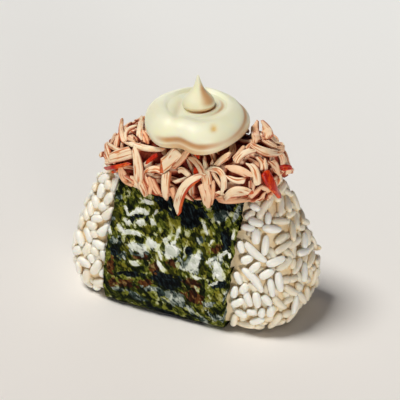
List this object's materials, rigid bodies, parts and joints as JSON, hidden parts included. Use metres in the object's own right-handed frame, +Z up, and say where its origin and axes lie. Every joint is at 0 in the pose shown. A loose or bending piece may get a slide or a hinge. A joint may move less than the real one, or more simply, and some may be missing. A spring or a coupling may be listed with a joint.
{
  "type": "onigiri rice ball",
  "caption": "Rounded upright block of pressed rice in a wide nori strip, topped with shredded crab and a peaked dollop of mayonnaise.",
  "frame": {"origin": "on the surface it stands on, under the middle of the block, on the strip's lower face", "axes": "+X along the block's long side, -Y out of the broad face that shows the strip best, +Z up"},
  "size_m": [0.0794, 0.0426, 0.0745],
  "materials": {
    "cooked_rice": "moist cooked rice grains, soft sheen",
    "nori": "dark green seaweed sheet, crinkled, with glints",
    "shredded_crab": "fibrous pale orange shreds with red edges",
    "mayonnaise": "smooth glossy pale yellow cream"
  },
  "bodies": {
    "root": {"rice_block": "cooked_rice", "nori_strip": "nori", "shred_heap": "shredded_crab", "mayonnaise": "mayonnaise"}
  },
  "joints": []
}
